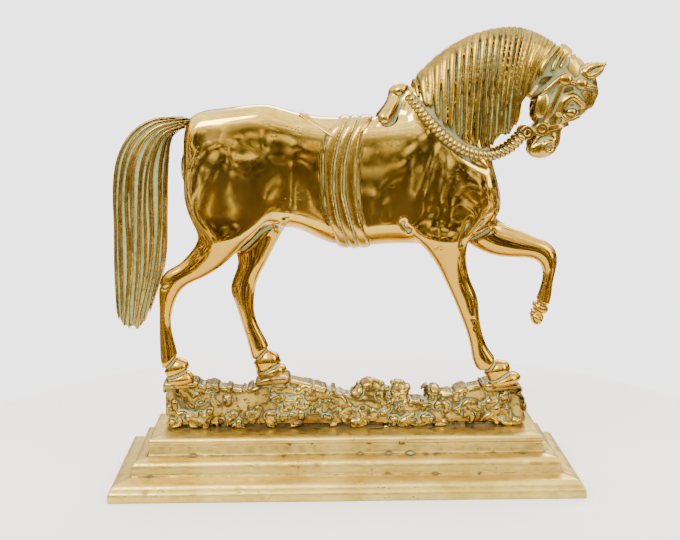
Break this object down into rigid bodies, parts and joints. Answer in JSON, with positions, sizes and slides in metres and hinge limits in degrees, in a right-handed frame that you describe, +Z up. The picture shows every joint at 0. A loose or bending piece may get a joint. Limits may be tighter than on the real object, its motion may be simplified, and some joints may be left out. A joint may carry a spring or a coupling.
{
  "type": "horse statue",
  "caption": "Cast brass horse walking with one foreleg raised, on a strip of rocky ground fixed to a stepped plinth; stands on its flat underside.",
  "frame": {"origin": "centre of the plinth's flat underside", "axes": "+X the way the horse faces, +Z up, -Y the horse's near side, towards the viewer"},
  "size_m": [0.2628, 0.088, 0.2476],
  "materials": {
    "polished_brass": "polished casting with pale tarnish in the hollows",
    "head_brass": "polished casting with pale tarnish in the hollows",
    "mane_brass": "polished ridges, tarnished grooves",
    "tail_brass": "polished ridges, tarnished grooves",
    "ground_brass": "rough casting, polished on the high spots",
    "plinth_brass": "satin, scratched",
    "tack_brass": "polished ridges, tarnished grooves",
    "pin_brass": "plain drawn rod",
    "fixing_steel": "plain"
  },
  "bodies": {
    "root": {"plinth": "plinth_brass", "rocky_ground": "ground_brass", "body": "polished_brass", "head": "head_brass", "mane": "mane_brass", "tail": "tail_brass", "near_hind_leg": "polished_brass", "off_hind_leg": "polished_brass", "near_fore_leg": "polished_brass", "off_fore_leg": "polished_brass", "saddle_pad": "tack_brass", "girth_straps": "tack_brass", "crupper_strap": "tack_brass", "near_rein": "tack_brass", "off_rein": "tack_brass", "bridle_straps": "tack_brass", "bridle_rosettes": "tack_brass", "bit": "tack_brass", "joint_pins": "pin_brass", "hoof_pins": "pin_brass", "fixing_studs": "fixing_steel", "washers": "fixing_steel", "nuts": "fixing_steel"}
  },
  "joints": []
}
